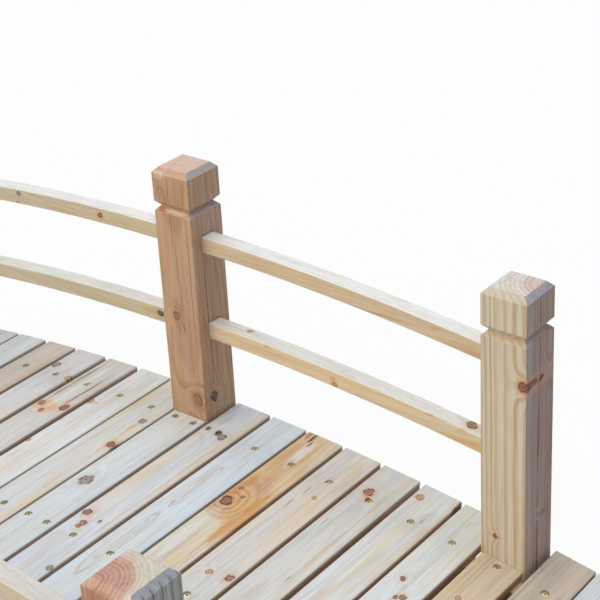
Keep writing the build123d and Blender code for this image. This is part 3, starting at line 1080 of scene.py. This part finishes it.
def board_look(look, face=0.0, reach=RIGHT_THROUGH):
    """A look with places through the wood for the knots and marks that its table gives on a face.

    A knot may end with its own spread and place. The others run through the board.
    """
    knots = []
    for along, across, radius, kind, *rest in look.get("knots", ()):
        spread, through = rest or (THROUGH, 0.0)
        knots.append((along, across, through, radius, kind, spread))
    marks = [
        (along, across, face, reach_along, reach_across, reach, strength, code)
        for along, across, reach_along, reach_across, strength, code in look.get("marks", ())
    ]
    return {**look, "knots": knots, "marks": marks}


def deck_drop(x):
    """How far the deck has fallen at x from the crown."""
    return DECK_RADIUS - math.sqrt(DECK_RADIUS ** 2 - x ** 2)


def rail_look(node, look):
    """A rail's look with its knots and marks measured from the middle of its box."""
    middle = box_centre(node)
    crown_line = DECK_HEIGHT + (UPPER_RAIL_LINE if node.startswith("upper") else LOWER_RAIL_LINE)
    from_middle = {}
    for key in ("knots", "marks"):
        from_middle[key] = [
            (x - middle.x / MM, height + (crown_line - deck_drop(x * MM) - middle.z) / MM, *rest)
            for x, height, *rest in look.get(key, ())
        ]
    return board_look({**look, **from_middle}, RAIL_FACE, RAIL_MARK_DEPTH)


class BRIDGE_OT_planks(bpy.types.Operator):
    """Lay the bare, worn deck planks"""
    bl_idname = "bridge.planks"
    bl_label = "Deck planks"

    def execute(self, context):
        for number, look in PLANK_LOOKS.items():
            node = f"deck_plank_{number:02d}"
            given = {"contrast": PLANK_CONTRAST, "edges": PLANK_EDGE_PAINTED_SHADE, **board_look(look)}
            # Each screw's recess gets the painted shade of its hole.
            given["marks"] += [
                (y / MM, side / MM, HOLE_PAINTED_SHADE_RISE, *HOLE_PAINTED_SHADE_REACH, HOLE_PAINTED_SHADE_STRENGTH, HOLE_PAINTED_SHADE)
                for y in SCREW_ROWS.values() for side in plank_screws(node)
            ]
            worn_timber(node, plank_axes(node), number, given)
        return {"FINISHED"}


class BRIDGE_OT_posts(bpy.types.Operator):
    """Stand the grooved posts"""
    bl_idname = "bridge.posts"
    bl_label = "Posts"

    def execute(self, context):
        for number, (node, look) in enumerate(POST_LOOKS.items(), FIRST_POST):
            worn_timber(node, POST_AXES, number, look)
        return {"FINISHED"}


class BRIDGE_OT_rails(bpy.types.Operator):
    """Run the curved rails and the arched beams"""
    bl_idname = "bridge.rails"
    bl_label = "Rails and beams"

    def execute(self, context):
        for number, (node, look) in enumerate(RAIL_LOOKS.items(), FIRST_RAIL):
            worn_timber(node, RAIL_AXES, number, rail_look(node, look))
        for number, (node, look) in enumerate(BEAM_LOOKS.items(), FIRST_BEAM):
            worn_timber(node, RAIL_AXES, number, board_look(look))
        return {"FINISHED"}


class BRIDGE_OT_screws(bpy.types.Operator):
    """Drive a row of screws through the planks into each beam"""
    bl_idname = "bridge.screws"
    bl_label = "Deck screws"

    def execute(self, context):
        settings = context.scene.bridge
        material = metal_material("screw_brass", settings.brass_colour, 0.3)
        master = screw_master(settings.screw_head)
        chance = random.Random(SCREW_SEED)
        for row, y in SCREW_ROWS.items():
            places = []
            for number in PLANK_LOOKS:
                node = f"deck_plank_{number:02d}"
                along, across, square = (Vector(axis) for axis in plank_axes(node))
                lean = Matrix((across, -along, square)).transposed().to_4x4()
                for side in plank_screws(node):
                    seat = SCREW_SEAT - chance.uniform(0.0, SCREW_SEAT_SPREAD)
                    rise = PLANK_THICKNESS / 2 - RECESS_DEPTH + seat
                    spot = box_centre(node) + square * rise + across * side
                    spot.y = y
                    turn = Matrix.Rotation(chance.uniform(0, math.pi / 2), 4, "Z")
                    places.append(Matrix.Translation(spot) @ lean @ turn)
            piece = join_copies(master, f"screws_{row}_row", places)
            settle(piece, f"screws_{row}_row", material, METAL_SMOOTH_ANGLE)
        bpy.data.objects.remove(master)
        return {"FINISHED"}


class BRIDGE_OT_bolts(bpy.types.Operator):
    """Bolt the posts to the outer beams"""
    bl_idname = "bridge.bolts"
    bl_label = "Post bolts"

    def execute(self, context):
        settings = context.scene.bridge
        material = metal_material("bolt_zinc", settings.zinc_colour, 0.35)
        head = bolt_master(settings.bolt_head)
        nut = nut_master(settings.bolt_head)
        for side, sign in (("near", -1), ("far", 1)):
            outwards = Matrix.Rotation(-sign * math.pi / 2, 4, "X")
            inwards = Matrix.Rotation(sign * math.pi / 2, 4, "X")
            heads, nuts = [], []
            for column in ("left", "mid", "right"):
                middle = box_centre(f"post_{side}_{column}").x
                for beside, below in BOLT_PLACES:
                    x = middle + beside
                    z = DECK_HEIGHT - deck_drop(x) + below
                    heads.append(Matrix.Translation((x, sign * POST_OUTER_FACE, z)) @ outwards)
                    nuts.append(Matrix.Translation((x, sign * BEAM_INNER_FACE, z)) @ inwards)
            piece = join_copies(head, "bolt_heads", heads)
            ends = join_copies(nut, "bolt_nuts", nuts)
            select_only(piece)
            ends.select_set(True)
            bpy.ops.object.join()
            settle(piece, f"post_bolts_{side}", material, METAL_SMOOTH_ANGLE)
        bpy.data.objects.remove(head)
        bpy.data.objects.remove(nut)
        return {"FINISHED"}


class BRIDGE_OT_stage(bpy.types.Operator):
    """Set up the floor, the lights and the photograph's camera"""
    bl_idname = "bridge.stage"
    bl_label = "Stage"

    def execute(self, context):
        settings = context.scene.bridge
        build_floor(settings)
        build_lights(settings)
        build_camera()
        context.scene.view_settings.view_transform = "Standard"
        return {"FINISHED"}


def seen_directly(tree):
    """1 for rays from the camera, a gloss or glass, which are to meet a white background."""
    path = add_node(tree, "ShaderNodeLightPath").outputs
    seen = maths(tree, "MAXIMUM", path["Is Camera Ray"], path["Is Glossy Ray"])
    return maths(tree, "MAXIMUM", seen, path["Is Transmission Ray"])


def build_floor(settings):
    """Plain pale floor that keeps the bridge's shadow."""
    bpy.ops.object.select_all(action="DESELECT")
    bpy.ops.mesh.primitive_plane_add(size=FLOOR_SIZE, location=(0.0, 0.0, 0.0))
    floor = bpy.context.active_object
    floor.name = "studio_floor"
    material = bpy.data.materials.new("studio_floor")
    material.use_nodes = True
    tree = material.node_tree
    shader = tree.nodes["Principled BSDF"]
    shader.inputs["Base Color"].default_value = settings.floor_colour
    shader.inputs["Roughness"].default_value = 0.9
    glow = add_node(tree, "ShaderNodeEmission", {"Color": WHITE, "Strength": 1.0})
    place = add_node(tree, "ShaderNodeTexCoord").outputs["Object"]
    parts = add_node(tree, "ShaderNodeSeparateXYZ", {0: place}).outputs
    under = 1.0
    for axis, reach in zip("XY", SHADE_REACH):
        off = maths(tree, "ABSOLUTE", parts[axis])
        within = step(tree, off, reach + SHADE_EDGE, reach - SHADE_EDGE)
        under = maths(tree, "MULTIPLY", under, within)
    share = maths(tree, "MULTIPLY", seen_directly(tree), FLOOR_WHITENESS)
    share = maths(tree, "MULTIPLY", share, maths(tree, "SUBTRACT", 1.0, under))
    inputs = {0: share, 1: shader.outputs["BSDF"], 2: glow.outputs["Emission"]}
    blend = add_node(tree, "ShaderNodeMixShader", inputs)
    tree.links.new(blend.outputs[0], tree.nodes["Material Output"].inputs["Surface"])
    floor.data.materials.append(material)


def build_lights(settings):
    """Even sky light, a cool soft light from overhead and a warm one from the front left."""
    world = bpy.data.worlds.new("studio")
    bpy.context.scene.world = world
    world.use_nodes = True
    tree = world.node_tree
    sky = tree.nodes["Background"]
    sky.inputs["Color"].default_value = colour(SKY_COLOUR)
    sky.inputs["Strength"].default_value = settings.sky_light
    white = add_node(tree, "ShaderNodeBackground", {"Color": WHITE, "Strength": 1.0})
    inputs = {0: seen_directly(tree), 1: sky.outputs[0], 2: white.outputs[0]}
    blend = add_node(tree, "ShaderNodeMixShader", inputs)
    tree.links.new(blend.outputs[0], tree.nodes["World Output"].inputs["Surface"])
    for name, (place, tint, spread) in LAMPS.items():
        bpy.ops.object.select_all(action="DESELECT")
        bpy.ops.object.light_add(type="SUN", location=place)
        lamp = bpy.context.active_object
        lamp.name = name
        lamp.data.energy = getattr(settings, name)
        lamp.data.angle = math.radians(spread)
        lamp.data.color = colour(tint)[:3]
        lamp.rotation_euler = (-Vector(place)).to_track_quat("-Z", "Y").to_euler()


def build_camera():
    """The photograph's camera."""
    bpy.ops.object.select_all(action="DESELECT")
    bpy.ops.object.camera_add(location=CAMERA_PLACE)
    camera = bpy.context.active_object
    camera.name = "photograph_camera"
    aim = (Vector(CAMERA_TARGET) - Vector(CAMERA_PLACE)).to_track_quat("-Z", "Y")
    tipped = aim.to_matrix() @ Matrix.Rotation(CAMERA_ROLL, 3, "Z")
    camera.rotation_euler = tipped.to_euler()
    camera.data.lens = CAMERA_LENS
    camera.data.sensor_fit = "HORIZONTAL"
    camera.data.sensor_width = CAMERA_SENSOR
    camera.data.shift_x, camera.data.shift_y = CAMERA_SHIFT
    camera.data.clip_start = 0.01
    bpy.context.scene.camera = camera


class BRIDGE_PT_panel(bpy.types.Panel):
    """Garden bridge dressing"""
    bl_idname = "BRIDGE_PT_panel"
    bl_label = "Garden Bridge"
    bl_space_type = "VIEW_3D"
    bl_region_type = "UI"
    bl_category = "Bridge"

    def draw(self, context):
        column = self.layout.column()
        for name in BridgeSettings.__annotations__:
            column.prop(context.scene.bridge, name)
        for operator in OPERATORS:
            column.operator(operator.bl_idname)


OPERATORS = (BRIDGE_OT_planks, BRIDGE_OT_posts, BRIDGE_OT_rails, BRIDGE_OT_screws, BRIDGE_OT_bolts,
             BRIDGE_OT_stage)
CLASSES = (BridgeSettings, *OPERATORS, BRIDGE_PT_panel)


def register():
    for one in CLASSES:
        bpy.utils.register_class(one)
    bpy.types.Scene.bridge = PointerProperty(type=BridgeSettings)


def unregister():
    del bpy.types.Scene.bridge
    for one in reversed(CLASSES):
        bpy.utils.unregister_class(one)


def main():
    """Builds everything in order."""
    register()
    bpy.ops.bridge.planks()
    bpy.ops.bridge.posts()
    bpy.ops.bridge.rails()
    bpy.ops.bridge.screws()
    bpy.ops.bridge.bolts()
    bpy.ops.bridge.stage()


if __name__ == "__main__":
    main()
